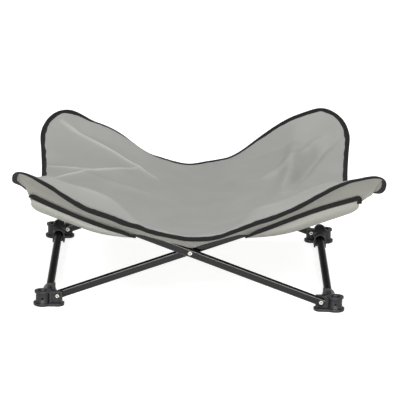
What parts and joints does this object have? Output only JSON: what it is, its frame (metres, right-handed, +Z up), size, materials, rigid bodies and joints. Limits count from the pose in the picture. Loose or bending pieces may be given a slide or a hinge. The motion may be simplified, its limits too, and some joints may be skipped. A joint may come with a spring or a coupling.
{
  "type": "raised dog cot",
  "caption": "Folding raised pet cot: scissor tubes and ground rails on moulded feet carry a grey sling with upturned corner lobes.",
  "frame": {"origin": "on the ground under the middle of the cot", "axes": "+X to the right, +Y to the back, +Z up"},
  "size_m": [0.703, 0.6091, 0.2802],
  "materials": {
    "sling_cloth": "woven polyester, matt",
    "edge_binding": "woven tape, matt",
    "black_tube": "gloss black powder coat",
    "foot_plastic": "moulded, fine grain",
    "nickel_rivet": "nickel plated"
  },
  "bodies": {
    "left_base": {"foot_front_left": "foot_plastic", "foot_back_left": "foot_plastic", "rail_left": "black_tube", "rail_pins_left": "black_tube", "foot_rivets_left": "nickel_rivet"},
    "tubes_b": {"tube_b_front": "black_tube", "tube_b_back": "black_tube", "tip_cap_b_front": "foot_plastic", "tip_cap_b_back": "foot_plastic", "crossing_spacers": "foot_plastic", "sling_right": "sling_cloth", "sling_centre": "sling_cloth", "pocket_front_right": "sling_cloth", "pocket_back_right": "sling_cloth"},
    "tubes_a": {"tube_a_front": "black_tube", "tube_a_back": "black_tube", "tip_cap_a_front": "foot_plastic", "tip_cap_a_back": "foot_plastic", "crossing_rivets": "nickel_rivet", "sling_left": "sling_cloth", "pocket_front_left": "sling_cloth", "pocket_back_left": "sling_cloth"},
    "right_base": {"foot_front_right": "foot_plastic", "foot_back_right": "foot_plastic", "rail_right": "black_tube", "rail_pins_right": "black_tube", "foot_rivets_right": "nickel_rivet"}
  },
  "joints": [
    {"name": "left_fold", "type": "hinge", "parent": "left_base", "child": "tubes_b", "pos_m": [-0.254, 0, 0.019], "axis": [0, -1, 0], "range_deg": [0, 52], "deforming": ["sling_centre"]},
    {"name": "scissor_fold", "type": "hinge", "parent": "tubes_b", "child": "tubes_a", "pos_m": [0, 0, 0.112], "axis": [0, -1, 0], "range_deg": [-104, 0]},
    {"name": "right_fold", "type": "hinge", "parent": "tubes_a", "child": "right_base", "pos_m": [0.254, 0, 0.019], "axis": [0, -1, 0], "range_deg": [0, 52]}
  ],
  "couplings": [
    {"joint": "scissor_fold", "follows": "left_fold", "ratio": -2},
    {"joint": "right_fold", "follows": "left_fold", "ratio": 1}
  ]
}
